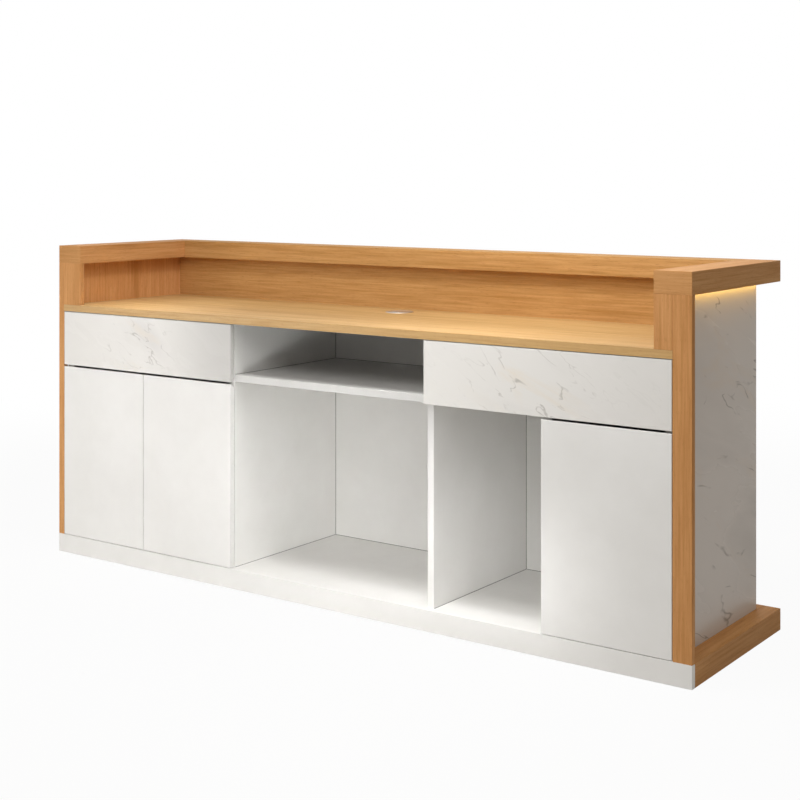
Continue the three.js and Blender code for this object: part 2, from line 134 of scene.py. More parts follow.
# Sockets 6 and 7 of a colour mix are its two colours
def mixColour(tree, share, first, second, blend="MIX"):
    inputs = {"Factor": share, 6: first, 7: second}
    return addNode(tree, "Mix", inputs, data_type="RGBA", blend_type=blend).outputs[2]


def setRoughness(tree, shader, field, span):
    feed(tree, shader.inputs["Roughness"], remap(tree, field, noiseSpan, span))


def setRelief(tree, shader, height, strength, depth):
    inputs = {"Height": height, "Strength": strength, "Distance": depth}
    feed(tree, shader.inputs["Normal"], addNode(tree, "Bump", inputs).outputs["Normal"])


# The point in grain axes: its Z runs along the grain

grainTurns = {"x": (0, math.radians(90), 0), "y": (math.radians(90), 0, 0), "z": (0, 0, 0)}


def grainPoint(tree, grain, endGrain):
    longways = objectPoint(tree, turn=grainTurns[grain])
    if endGrain is None:
        return longways
    endways = objectPoint(tree, turn=grainTurns[endGrain])  # edge banding on the board's ends
    facing = calculate(tree, "ABSOLUTE", coordinate(tree, "Normal", grain.upper()))
    onEnd = calculate(tree, "GREATER_THAN", facing, squareOn)
    inputs = {"Factor": onEnd, 4: longways, 5: endways}  # sockets 4 and 5 are the two vectors
    return addNode(tree, "Mix", inputs, data_type="VECTOR").outputs[1]


# Wood veneer: long streaks, broad tone bands and short open pores along the grain

oak = {
    "tones": ((0.43, 0.200, 0.066), (0.555, 0.278, 0.106), (0.640, 0.345, 0.145)),
    "toneStops": (0.34, 0.50, 0.64),
    "bands": {"perMetre": 11.0, "detail": 3.0, "roughness": 0.55, "distortion": 0.6},
    "streaks": {"perMetre": 150.0, "detail": 4.0, "roughness": 0.62, "distortion": 0.2},
    "streakShare": 0.5,
    "alongGrain": 0.035,
    "pore": (0.29, 0.125, 0.040),
    "pores": {"perMetre": 700.0, "detail": 2.0, "roughness": 0.5},
    "poreEdge": (0.60, 0.70),
    "poreShare": 0.40,
    "poreAlongGrain": 0.07,
    "poreDepth": 0.12 * mm,
    "relief": 0.35,
    "streakRelief": 0.3,
    "roughness": (0.54, 0.40),
    "backing": (0.36, 0.345, 0.32),
}

oakLooks = {
    "oakAlongDesk": {"grain": "x", "shine": 0.02, "tint": (1.02, 1.12, 1.10)},
    # The worktop's tint is paler in green and blue than the other oak: a painted sheen, standing in
    # for the whitish glare on the top
    "oakWorktop": {"grain": "x", "shine": 0.32, "tint": (0.97, 1.17, 1.20), "backed": True},
    "oakAlongArms": {"grain": "y", "shine": 0.02, "tint": (1.0, 1.0, 1.0), "endGrain": "x"},
    "oakUpright": {"grain": "z", "shine": 0.02, "tint": (1.08, 1.06, 1.06)},
}


def oakVeneer(name, grain, shine, tint, endGrain=None, backed=False):
    material, tree, shader = startMaterial(name)
    place = grainPoint(tree, grain, endGrain)
    longways = calculateVector(tree, "MULTIPLY", place, (1, 1, oak["alongGrain"]))
    shortways = calculateVector(tree, "MULTIPLY", place, (1, 1, oak["poreAlongGrain"]))

    bands = noise(tree, longways, oak["bands"])
    streaks = noise(tree, longways, oak["streaks"])
    bandPart = calculate(tree, "MULTIPLY", bands, 1 - oak["streakShare"])
    streakPart = calculate(tree, "MULTIPLY", streaks, oak["streakShare"])
    tones = [tuple(part * share for part, share in zip(tone, tint)) for tone in oak["tones"]]
    wood = ramp(tree, calculate(tree, "ADD", bandPart, streakPart), oak["toneStops"], tones)

    pores = remap(tree, noise(tree, shortways, oak["pores"]), oak["poreEdge"])
    poreShare = calculate(tree, "MULTIPLY", pores, oak["poreShare"])
    colour = mixColour(tree, poreShare, wood, (*oak["pore"], 1))
    if backed:
        below = calculate(tree, "LESS_THAN", coordinate(tree, "Normal", "Z"), -squareOn)
        colour = mixColour(tree, below, colour, (*oak["backing"], 1))
    feed(tree, shader.inputs["Base Color"], colour)

    setRoughness(tree, shader, streaks, oak["roughness"])
    streakHeight = calculate(tree, "MULTIPLY", streaks, oak["streakRelief"])
    height = calculate(tree, "SUBTRACT", streakHeight, pores)
    setRelief(tree, shader, height, oak["relief"], oak["poreDepth"])
    shader.inputs["Specular IOR Level"].default_value = shine
    return material


# Melamine board: nearly flat, with a faint mottled tone and a fine pressed texture

melamine = {
    "tones": ((0.800, 0.790, 0.765), (0.845, 0.836, 0.814)),
    "toneStops": (0.30, 0.68),
    "mottle": {"perMetre": 5.0, "detail": 4.0, "roughness": 0.6},
    "grain": {"perMetre": 900.0, "detail": 2.0, "roughness": 0.6},
    "grainRelief": 0.25,
    "grainDepth": 0.05 * mm,
    "roughness": (0.38, 0.50),
    "shine": 0.15,
    # The shelf's darker copy of the same white board is painted shade
    "shelfPaintedShade": 0.80,
}


# A shade below 1 darkens the board's colour: painted shade on a copy of the same board
def whiteMelamine(name, shade=1.0):
    material, tree, shader = startMaterial(name)
    place = objectPoint(tree)
    tones = [tuple(shade * part for part in tone) for tone in melamine["tones"]]
    mottle = noise(tree, place, melamine["mottle"])
    feed(tree, shader.inputs["Base Color"], ramp(tree, mottle, melamine["toneStops"], tones))
    grain = noise(tree, place, melamine["grain"])
    setRoughness(tree, shader, grain, melamine["roughness"])
    setRelief(tree, shader, grain, melamine["grainRelief"], melamine["grainDepth"])
    shader.inputs["Specular IOR Level"].default_value = melamine["shine"]
    return material


# Marble-look laminate: soft clouds, and short thin veins that slant down along the face

marble = {
    "white": (0.800, 0.782, 0.750),
    # The end panels' ground is the same laminate darkened and warmed: painted shade and painted
    # warm bounce light
    "paintedShadeGround": (0.690, 0.630, 0.568),
    "squeeze": 0.30,
    "clouds": {"perMetre": 4.0, "detail": 4.0, "roughness": 0.55, "distortion": 0.6},
    "cloudEdge": (0.46, 0.72),
    "cloudShare": 0.8,
    "cloudTint": (0.80, 0.80, 0.80),
    "stains": {"perMetre": 8.8, "detail": 4.0, "roughness": 0.6, "distortion": 0.9},
    "stainEdge": (0.54, 0.76),
    "stainShare": 0.5,
    "stainTint": (1.0, 0.90, 0.76),
    "veins": {"perMetre": 7.5, "detail": 3.0, "roughness": 0.5, "distortion": 0.5},
    "veinWidth": 0.016,
    "veinTint": (0.42, 0.40, 0.37),
    "breaks": {"perMetre": 13.0, "detail": 2.0, "roughness": 0.5},
    "breakSqueeze": 0.48,
    "breakShift": 3.7,
    "clusterCore": 0.25,
    "skin": {"perMetre": 900.0, "detail": 2.0, "roughness": 0.5},
    "skinRelief": 0.12,
    "skinDepth": 0.05 * mm,
    "roughness": (0.22, 0.34),
    "shine": 0.10,
}

panelVeins = {"slant": 20, "finer": 1.3, "gaps": (0.54, 0.63), "strength": 0.85, "seed": 0.4}
drawerVeins = {"slant": 32, "finer": 2.6, "gaps": (0.44, 0.56), "strength": 0.62}

# Where on each drawer front the veins gather, as shares of its length and height; and from where
# painted shade darkens the front towards its right end, and how dark it gets there
drawerClusters = {
    "left_drawer_front": {
        "along": 0.47, "up": 0.45, "reach": (0.20, 1.0, 0.14), "outside": 0.05,
        "seed": 2.3, "paintedShadeFrom": 0.50, "paintedShadeLevel": 0.74,
    },
    "right_drawer_front": {
        "along": 0.46, "up": 0.45, "reach": (0.28, 1.0, 0.16), "outside": 0.10,
        "seed": 5.1, "paintedShadeFrom": 0.40, "paintedShadeLevel": 0.96,
    },
}


def marbleLaminate(name, ground, seed, slant, finer, gaps, strength, front=None):
    material, tree, shader = startMaterial(name)
    place = slantedPoint(tree, slant, marble["squeeze"], seed)
    clouds = noise(tree, place, marble["clouds"])
    stains = noise(tree, place, marble["stains"])
    cloudShare = remap(tree, clouds, marble["cloudEdge"], (0.0, marble["cloudShare"]))
    stainShare = remap(tree, stains, marble["stainEdge"], (0.0, marble["stainShare"]))

    field = noise(tree, place, marble["veins"], finer)
    ridge = calculate(tree, "ABSOLUTE", calculate(tree, "SUBTRACT", field, noiseMiddle))
    thin = remap(tree, ridge, (0.0, marble["veinWidth"]), (1.0, 0.0))
    pieces = slantedPoint(tree, slant, marble["breakSqueeze"], seed + marble["breakShift"])
    broken = remap(tree, noise(tree, pieces, marble["breaks"], finer), gaps)
    veinShare = calculate(tree, "MULTIPLY", calculate(tree, "MULTIPLY", thin, broken), strength)

    shares = [cloudShare, stainShare, veinShare]
    if front:
        near = clusterMask(tree, front)
        shares = [calculate(tree, "MULTIPLY", share, near) for share in shares]
    colour = (*ground, 1)
    for share, tint in zip(shares, ("cloudTint", "stainTint", "veinTint")):
        tinted = [part * portion for part, portion in zip(ground, marble[tint])]
        colour = mixColour(tree, share, colour, (*tinted, 1))
    if front:
        # Painted shade, darker towards the front's right end
        colour = paintedShadeAlong(tree, colour, front)
    feed(tree, shader.inputs["Base Color"], colour)

    setRoughness(tree, shader, clouds, marble["roughness"])
    skin = noise(tree, objectPoint(tree), marble["skin"])
    setRelief(tree, shader, skin, marble["skinRelief"], marble["skinDepth"])
    shader.inputs["Specular IOR Level"].default_value = marble["shine"]
    return material


# The point in vein axes: X along the slant and squeezed, Y across it
def slantedPoint(tree, slant, squeeze, seed):
    place = addNode(tree, "TexCoord").outputs["Object"]
    cosine, sine = math.cos(math.radians(slant)), math.sin(math.radians(slant))
    along = calculateVector(tree, "DOT_PRODUCT", place, (cosine, cosine, -sine))
    across = calculateVector(tree, "DOT_PRODUCT", place, (sine, sine, cosine))
    inputs = {"X": calculate(tree, "MULTIPLY", along, squeeze), "Y": across, "Z": seed}
    return addNode(tree, "CombineXYZ", inputs).outputs[0]


# A mask that is 1 where the veins gather and less outside
def clusterMask(tree, front):
    low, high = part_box(front)
    spot = drawerClusters[front]
    x, z = low.x + spot["along"] * (high.x - low.x), low.z + spot["up"] * (high.z - low.z)
    place = addNode(tree, "TexCoord").outputs["Object"]
    away = calculateVector(tree, "SUBTRACT", place, (x, low.y, z))
    sized = calculateVector(tree, "DIVIDE", away, spot["reach"])
    distance = calculateVector(tree, "LENGTH", sized)
    edge = (marble["clusterCore"], 1.0)
    return remap(tree, distance, edge, (1.0, spot["outside"]), smooth=True)


# Painted shade: the colour darkens towards the front's right end, standing in for light that falls
# off across the front
def paintedShadeAlong(tree, colour, front):
    low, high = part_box(front)
    start = low.x + drawerClusters[front]["paintedShadeFrom"] * (high.x - low.x)
    shade = drawerClusters[front]["paintedShadeLevel"]
    share = remap(tree, coordinate(tree, "Object", "X"), (start, high.x), smooth=True)
    return mixColour(tree, share, colour, (shade, shade, shade, 1), "MULTIPLY")


# Birch drawer board

birch = {
    "tones": ((0.56, 0.42, 0.25), (0.70, 0.56, 0.37)),
    "toneStops": (0.35, 0.65),
    "bands": {"perMetre": 30.0, "detail": 5.0, "roughness": 0.6, "distortion": 0.5},
    "alongGrain": 0.05,
    "relief": 0.2,
    "reliefDepth": 0.12 * mm,
    "roughness": 0.55,
}


def birchBoard(name):
    material, tree, shader = startMaterial(name)
    place = grainPoint(tree, "x", "y")
    longways = calculateVector(tree, "MULTIPLY", place, (1, 1, birch["alongGrain"]))
    bands = noise(tree, longways, birch["bands"])
    feed(tree, shader.inputs["Base Color"], ramp(tree, bands, birch["toneStops"], birch["tones"]))
    setRelief(tree, shader, bands, birch["relief"], birch["reliefDepth"])
    shader.inputs["Roughness"].default_value = birch["roughness"]
    return material


# Plated steel and anodised aluminium, with fine scratches

scratched = {
    "scratches": {"perMetre": 140.0, "detail": 3.0, "roughness": 0.6},
    "darkShare": 0.82,
    "toneStops": (0.32, 0.66),
    "relief": 0.15,
    "depth": 0.05 * mm,
}

metalLooks = {
    "zincSteel": {"tint": (0.62, 0.63, 0.64), "roughness": (0.27, 0.42), "run": (1, 0.05, 1)},
    "nickelSteel": {"tint": (0.70, 0.685, 0.65), "roughness": (0.19, 0.34), "run": (1, 0.2, 1)},
    "satinAluminium": {"tint": (0.74, 0.69, 0.62), "roughness": (0.35, 0.50), "run": (0.1, 1, 1)},
}


def scratchedMetal(name):
    look = metalLooks[name]
    material, tree, shader = startMaterial(name)
    scratches = noise(tree, objectPoint(tree, scale=look["run"]), scratched["scratches"])
    tones = [tuple(scratched["darkShare"] * part for part in look["tint"]), look["tint"]]
    feed(tree, shader.inputs["Base Color"], ramp(tree, scratches, scratched["toneStops"], tones))
    setRoughness(tree, shader, scratches, look["roughness"])
    setRelief(tree, shader, scratches, scratched["relief"], scratched["depth"])
    shader.inputs["Metallic"].default_value = 1.0
    return material


# Polymers with a faintly cloudy tone: the opal light strip, clear pads, and the grey corner beads
# that paint shadow lines

lightStrip = {
    "tones": ((0.86, 0.78, 0.62), (0.92, 0.86, 0.72)),
    "cloudy": {"perMetre": 300.0, "detail": 2.0, "roughness": 0.5},
    "roughness": 0.5,
    "glow": (1.0, 0.61, 0.09),
    "strength": (7.0, 10.2),
    "diodesPerMetre": 60.0,
}


def cloudyPolymer(name, look):
    material, tree, shader = startMaterial(name)
    cloudy = noise(tree, objectPoint(tree), look["cloudy"])
    feed(tree, shader.inputs["Base Color"], ramp(tree, cloudy, noiseSpan, look["tones"]))
    shader.inputs["Roughness"].default_value = look["roughness"]
    return material, tree, shader


# The strip glows brighter over each diode
def warmDiffuser(name):
    material, tree, shader = cloudyPolymer(name, lightStrip)
    x, y = coordinate(tree, "Object", "X"), coordinate(tree, "Object", "Y")
    turns = 2 * math.pi * lightStrip["diodesPerMetre"]
    phase = calculate(tree, "MULTIPLY", calculate(tree, "ADD", x, y), turns)
    power = remap(tree, calculate(tree, "SINE", phase), (-1.0, 1.0), lightStrip["strength"])
    feed(tree, shader.inputs["Emission Strength"], power)
    shader.inputs["Emission Color"].default_value = (*lightStrip["glow"], 1)
    return material


# Dress the frame's own pieces

oakFinishes = {name: oakVeneer(name, **look) for name, look in oakLooks.items()}
zincSteel = scratchedMetal("zincSteel")
nickelSteel = scratchedMetal("nickelSteel")
satinAluminium = scratchedMetal("satinAluminium")

slotFinishes = {
    "oak_veneer": oakFinishes["oakUpright"],
    "white_board": whiteMelamine("whiteMelamine"),
    # The end panels take the darkened, warmed ground: painted shade
    "marble_laminate": marbleLaminate("marblePanels", marble["paintedShadeGround"], **panelVeins),
    "drawer_birch": birchBoard("birchDrawer"),
    "zinc_steel": zincSteel,
    "nickel_steel": nickelSteel,
    "satin_aluminium": satinAluminium,
    "warm_light": warmDiffuser("warmDiffuser"),
}

lyingOak = {
    "oakWorktop": ["worktop"],
    "oakAlongDesk": ["back_upstand", "visitor_rail", "base_visitor"],
    "oakAlongArms": ["left_arm", "right_arm", "base_left", "base_right"],
}


def dress(node, material):
    slots = nodes[node].data.materials
    slots.clear()
    slots.append(material)


for subpart in frame["record"]["subparts"]:
    dress(subpart["node"], slotFinishes[subpart["material_slot"]])
for finish, boards in lyingOak.items():
    for board in boards:
        dress(board, oakFinishes[finish])
# The knee shelf takes a darker copy of the white board: painted shade
dress("knee_shelf", whiteMelamine("shelfMelaminePaintedShade", melamine["shelfPaintedShade"]))
for front, spot in drawerClusters.items():
    veins = {**drawerVeins, "seed": spot["seed"], "front": front}
    dress(front, marbleLaminate("marble_" + front, marble["white"], **veins))
print("finishes on", len(nodes), "pieces")


# Shapes for the new pieces

creaseAngle = math.radians(32)  # edges sharper than this stay sharp
weldDistance = 0.001 * mm


def boxInMm(node):
    low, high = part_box(node)
    return low / mm, high / mm


def addPiece(name, shape, material, body, stands=()):
    bmesh.ops.recalc_face_normals(shape, faces=shape.faces)
    mesh = bpy.data.meshes.new(name)
    shape.to_mesh(mesh)
    shape.free()
    mesh.shade_smooth()
    mesh.set_sharp_from_angle(angle=creaseAngle)
    mesh.materials.append(material)
    piece = bpy.data.objects.new(name, mesh)
    bpy.context.scene.collection.objects.link(piece)
    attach(piece, body)
    if stands:
        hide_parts(*stands)


# Turns a profile of (radius, height) pairs in millimetres about an axis through the centre
def turnProfile(shape, profile, centre, axis, steps, closed=False):
    middle = Vector(centre) * mm
    offsets = [(rightwards * radius + axis * height) * mm for radius, height in profile]
    points = [shape.verts.new(middle + offset) for offset in offsets]
    pairs = list(zip(points, points[1:]))
    if closed:
        pairs.append((points[-1], points[0]))
    lines = [shape.edges.new(pair) for pair in pairs]
    turn = {"cent": middle, "axis": axis, "angle": 2 * math.pi, "steps": steps}
    bmesh.ops.spin(shape, geom=points + lines, use_merge=True, **turn)
    bmesh.ops.remove_doubles(shape, verts=shape.verts, dist=weldDistance)


# Draws an outline out into a solid and gives back its far face
def extrudeOutline(shape, outline, travel):
    base = shape.faces.new([shape.verts.new(corner) for corner in outline])
    risen = bmesh.ops.extrude_face_region(shape, geom=[base])["geom"]
    moved = [part for part in risen if isinstance(part, bmesh.types.BMVert)]
    bmesh.ops.translate(shape, vec=travel, verts=moved)
    return next(part for part in risen if isinstance(part, bmesh.types.BMFace))


def easeRim(shape, face, ease, segments):
    bevel = {"offset": ease * mm, "offset_type": "OFFSET", "affect": "EDGES", "segments": segments}
    bmesh.ops.bevel(shape, geom=list(face.edges), profile=0.5, material=-1, **bevel)


# Cable grommet: a turned ring let into the worktop, and a lid with a cable slot

grommet = {
    "flange": 4.0,
    "radii": {"flange": 46.0, "sleeve": 39.5, "seat": 37.0, "bore": 33.0, "lid": 36.7},
    "flangeEase": 1.5,
    "lipEase": 0.5,
    "boreEase": 0.6,
    "lidEase": 0.7,
    "lidEaseSteps": 3,
    "slotWidth": 26.0,
    "slotDepth": 16.0,
    "slotCorner": 4.0,
    "steps": 96,
    "cornerSteps": 5,
}

ringLow, ringHigh = boxInMm("grommet_sleeve")
ringCentre = (ringLow + ringHigh) / 2
lidSeat = boxInMm("grommet_cap")[0].z


# A quarter circle, clockwise from the start angle
def quarter(x, y, radius, start):
    steps = grommet["cornerSteps"]
    angles = [math.radians(start - 90 * step / steps) for step in range(steps + 1)]
    return [(x + radius * math.cos(angle), y + radius * math.sin(angle)) for angle in angles]


def addGrommetRing():
    radii, ease = grommet["radii"], grommet["flangeEase"]
    lip, boreEase = grommet["lipEase"], grommet["boreEase"]
    top, underFlange = ringHigh.z, ringHigh.z - grommet["flange"]
    profile = [(radii["bore"], ringLow.z), (radii["sleeve"], ringLow.z)]
    profile += [(radii["sleeve"], underFlange), (radii["flange"], underFlange)]
    profile += reversed(quarter(radii["flange"] - ease, top - ease, ease, 90))
    profile += [(radii["seat"] + lip, top), (radii["seat"], top - lip), (radii["seat"], lidSeat)]
    profile += [(radii["bore"] + boreEase, lidSeat), (radii["bore"], lidSeat - boreEase)]
    shape = bmesh.new()
    turnProfile(shape, profile, (ringCentre.x, ringCentre.y, 0), up, grommet["steps"], closed=True)
    addPiece("grommetRing", shape, satinAluminium, "desk", ["grommet_sleeve"])


def lidOutline():
    radius, corner = grommet["radii"]["lid"], grommet["slotCorner"]
    half, inner = grommet["slotWidth"] / 2, grommet["slotDepth"] - radius
    opening = math.asin(half / radius)
    first, last = -math.pi / 2 + opening, 1.5 * math.pi - opening
    count = grommet["steps"]
    angles = [first + (last - first) * step / count for step in range(count + 1)]
    rim = [(radius * math.cos(angle), radius * math.sin(angle)) for angle in angles]
    rounded = quarter(corner, inner - corner, corner, 180)
    left = [(x - half, y) for x, y in rounded]
    right = [(half - x, y) for x, y in reversed(rounded)]
    return rim + left + right


def addGrommetLid():
    x, y = ringCentre.x, ringCentre.y
    outline = [Vector((x + dx, y + dy, lidSeat)) * mm for dx, dy in lidOutline()]
    shape = bmesh.new()
    top = extrudeOutline(shape, outline, up * (ringHigh.z - lidSeat) * mm)
    easeRim(shape, top, grommet["lidEase"], grommet["lidEaseSteps"])
    addPiece("grommetLid", shape, satinAluminium, "grommet_cap", ["grommet_cap"])


addGrommetRing()
addGrommetLid()
print("grommet made")


# Cup hinges: pressed cups with screwed wings, placed by the cups and arms of the frame

hinges = {
    "doors": {
        "left_outer": {"body": "left_outer_door", "inward": 1},
        "left_inner": {"body": "left_inner_door", "inward": -1},
        "right": {"body": "right_door", "inward": -1},
    },
    "levels": ("lower", "upper"),
    "cupRadius": 17.25,
    "cupWall": 1.25,
    "cupEase": 0.8,
    "rimRadius": 19.0,
    "rimEase": 0.4,
    "lipEase": 0.5,
    "wingHalf": 8.0,
    "wingOverlap": 0.05,
    "wingEase": 0.25,
    "wingEaseSteps": 2,
    "wingScrew": 24.0,
    "mountPlate": 2.0,
    "mountSetback": 15.0,
    "mountScrew": 16.5,
    "cupSteps": 64,
    "wingInnerSteps": 8,
    "wingEndSteps": 16,
}


def addHingeCup(hinge, level):
    node, body = hinge + "_hinge_cup_" + level, hinges["doors"][hinge]["body"]
    low, high = boxInMm(node)
    back = boxInMm(body)[1].y
    centre = Vector(((low.x + high.x) / 2, back, (low.z + high.z) / 2))
    deep, plate = low.y - back, high.y - back
    outer, rim, wall = hinges["cupRadius"], hinges["rimRadius"], hinges["cupWall"]
    ease, rimEase, lip = hinges["cupEase"], hinges["rimEase"], hinges["lipEase"]
    inner, floor = outer - wall, deep + wall
    profile = [(0, deep), (outer - ease, deep), (outer, deep + ease), (outer, 0), (rim, 0)]
    profile += [(rim, plate - rimEase), (rim - rimEase, plate), (inner + lip, plate)]
    profile += [(inner, plate - lip), (inner, floor + ease), (inner - ease, floor), (0, floor)]
    shape = bmesh.new()
    turnProfile(shape, profile, centre, inwards, hinges["cupSteps"])
    for end in (-1, 1):
        addWing(shape, centre, end, (high.z - low.z) / 2, plate)
    name = "hinge_cup_" + hinge + "_" + level
    addPiece(name, shape, nickelSteel, body, [node])


# One screwed wing: its inner edge follows the cup's rim, and its outer end is round
def addWing(shape, centre, end, reach, plate):
    half, rim = hinges["wingHalf"], hinges["rimRadius"] - hinges["wingOverlap"]
    spread = math.asin(half / rim)
    innerCount, endCount = hinges["wingInnerSteps"], hinges["wingEndSteps"]
    outline = []
    for step in range(innerCount + 1):
        angle = math.pi / 2 + spread * (1 - 2 * step / innerCount)
        outline.append((rim * math.cos(angle), rim * math.sin(angle)))
    for step in range(endCount + 1):
        angle = math.pi * step / endCount
        outline.append((half * math.cos(angle), reach - half + half * math.sin(angle)))
    corners = [(centre + Vector((x, 0, end * z))) * mm for x, z in outline]
    top = extrudeOutline(shape, corners, inwards * plate * mm)
    easeRim(shape, top, hinges["wingEase"], hinges["wingEaseSteps"])


for hinge in hinges["doors"]:
    for level in hinges["levels"]:
        addHingeCup(hinge, level)
print("hinge cups made")


# Screw heads with a cross recess: one head of unit size is made, then set down at each screw

screwHead = {
    "profile": [(1.0, 0.0), (1.0, 0.45), (0.93, 0.74), (0.80, 0.92), (0.62, 1.0)],
    "steps": 24,
    "crossHalf": 0.11,
    "crossReach": 0.46,
    "recess": 0.55,
    "crownSlack": 0.001,
}


def makeScrewHead():
    shape = bmesh.new()
    profile = [(radius / mm, height / mm) for radius, height in screwHead["profile"]]
    turnProfile(shape, profile, (0, 0, 0), up, screwHead["steps"])
    crownLevel = 1.0 - screwHead["crownSlack"]
    crown = [edge for edge in shape.edges if all(corner.co.z > crownLevel for corner in edge.verts)]
    half, reach = screwHead["crossHalf"], screwHead["crossReach"]
    arm = [(reach, -half), (reach, half), (half, half)]
    outline = []
    for _ in range(4):
        outline += arm
        arm = [(-y, x) for x, y in arm]
    corners = [shape.verts.new((x, y, 1.0)) for x, y in outline]
    cross = [shape.edges.new(pair) for pair in zip(corners, corners[1:] + corners[:1])]
    bmesh.ops.triangle_fill(shape, edges=crown + cross, use_beauty=True)
    sunk = bmesh.ops.extrude_edge_only(shape, edges=cross)["geom"]
    floorCorners = [part for part in sunk if isinstance(part, bmesh.types.BMVert)]
    floorEdges = [part for part in sunk if isinstance(part, bmesh.types.BMEdge)]
    bmesh.ops.translate(shape, vec=-up * screwHead["recess"], verts=floorCorners)
    loop = [edge for edge in floorEdges if all(corner in floorCorners for corner in edge.verts)]
    bmesh.ops.edgeloop_fill(shape, edges=loop)
    mesh = bpy.data.meshes.new("screwHead")
    shape.to_mesh(mesh)
    shape.free()
    return mesh


headMesh = makeScrewHead()


# Each spot is a place in millimetres and the way its screw faces; a head is its radius and height
def setScrews(name, spots, head, material, body, slot):
    radius, height = head
    size = Matrix.Diagonal((radius * mm, radius * mm, height * mm, 1))
    shape = bmesh.new()
    for place, facing in spots:
        before = len(shape.verts)
        shape.from_mesh(headMesh)
        shape.verts.ensure_lookup_table()
        turn = up.rotation_difference(facing).to_matrix().to_4x4()
        move = Matrix.Translation(Vector(place) * mm)
        bmesh.ops.transform(shape, matrix=move @ turn @ size, verts=shape.verts[before:])
    addPiece(name, shape, material, body)


hingeScrews = {"wing": (3.4, 1.2), "mount": (3.6, 1.8), "adjuster": (3.5, 1.6)}


def addHingeScrews(hinge, body, inward):
    side = rightwards * inward
    wings, mounts, adjusters = [], [], []
    for level in hinges["levels"]:
        cupLow, cupHigh = boxInMm(hinge + "_hinge_cup_" + level)
        armLow, armHigh = boxInMm(hinge + "_hinge_arm_" + level)
        cupX, z = (cupLow.x + cupHigh.x) / 2, (cupLow.z + cupHigh.z) / 2
        wallX, roofX = (armLow.x, armHigh.x) if inward > 0 else (armHigh.x, armLow.x)
        plateX = wallX + inward * hinges["mountPlate"]
        mountY = armHigh.y - hinges["mountSetback"]
        for end in (-1, 1):
            wings.append(((cupX, cupHigh.y, z + end * hinges["wingScrew"]), inwards))
            mounts.append(((plateX, mountY, z + end * hinges["mountScrew"]), side))
        adjusters.append(((roofX, mountY, z), side))
    finish = (nickelSteel, body, "nickel_steel")
    setScrews("hinge_cup_screws_" + hinge, wings, hingeScrews["wing"], *finish)
    finish = (nickelSteel, "desk", "nickel_steel")
    setScrews("hinge_plate_screws_" + hinge, mounts, hingeScrews["mount"], *finish)
    setScrews("hinge_arm_screws_" + hinge, adjusters, hingeScrews["adjuster"], *finish)


for hinge, door in hinges["doors"].items():
    addHingeScrews(hinge, **door)
print("hinge screws set")


# Runner screws on the carcass, and drawer-front screws inside the boxes

runners = {
    "steel": 1.5,
    "fromFront": (37.0, 227.0, 417.0),
    "head": (3.2, 1.2),
}

drawerScrews = {
    "boxWall": 15.0,
    "insets": (80.0, 250.0),
    "belowTop": 53.0,
    "head": (4.4, 2.2),
}


def addRunnerScrews(side):
    spots = []
    for end, inward in (("left", 1), ("right", -1)):
        low, high = boxInMm(side + "_drawer_rail_" + end)
        wallX = low.x if inward > 0 else high.x
        x, z = wallX + inward * runners["steel"], (low.z + high.z) / 2
        spots += [((x, low.y + y, z), rightwards * inward) for y in runners["fromFront"]]
    setScrews("runner_screws_" + side, spots, runners["head"], zincSteel, "desk", "zinc_steel")


def addDrawerScrews(side):
    low, high = boxInMm(side + "_drawer_box")
    columns = [low.x + inset for inset in drawerScrews["insets"]]
    columns += [high.x - inset for inset in drawerScrews["insets"]]
    y, z = low.y + drawerScrews["boxWall"], high.z - drawerScrews["belowTop"]
    spots = [((x, y, z), inwards) for x in columns]
    finish = (zincSteel, side + "_drawer", "zinc_steel")
    setScrews("drawer_front_screws_" + side, spots, drawerScrews["head"], *finish)


for side in ("left", "right"):
    addRunnerScrews(side)
    addDrawerScrews(side)
print("drawer screws set")


# Clear bumpers behind the fronts, where a board's edge meets them

bumpers = {
    "profile": [(4.5, 0.0), (4.5, 0.7), (4.2, 1.3), (3.4, 1.9), (2.0, 2.4), (0.0, 2.6)],
    "steps": 32,
    "fronts": {
        "left_drawer": {
            "front": "left_drawer_front",
            "boards": ["left_side_panel", "knee_left_panel"],
            "belowTop": [22.0],
        },
        "right_drawer": {
            "front": "right_drawer_front",
            "boards": ["knee_right_panel", "right_side_panel"],
            "belowTop": [22.0],
        },
        "right_door": {
            "front": "right_door",
            "boards": ["niche_partition"],
            "belowTop": [552.0, 35.0],
        },
    },
    "tones": ((0.78, 0.80, 0.80), (0.88, 0.90, 0.90)),
    "cloudy": {"perMetre": 400.0, "detail": 2.0, "roughness": 0.5},
    "roughness": 0.3,
    "clearness": 0.5,
}


def clearPolymer(name):
    material, tree, shader = cloudyPolymer(name, bumpers)
    shader.inputs["Transmission Weight"].default_value = bumpers["clearness"]
    return material


def addBumpers(body, front, boards, belowTop):
    faceY, top = boxInMm(front)[1].yz
    shape = bmesh.new()
    for board in boards:
        low, high = boxInMm(board)
        for drop in belowTop:
            centre = ((low.x + high.x) / 2, faceY, top - drop)
            turnProfile(shape, bumpers["profile"], centre, inwards, bumpers["steps"])
    addPiece("bumpers_" + body, shape, clearPads, body)


clearPads = clearPolymer("clearPolymer")
for body, places in bumpers["fronts"].items():
    addBumpers(body, **places)
print("bumpers set")


# Grey beads in the inner corners of the open bays: painted shadow lines where the boards meet

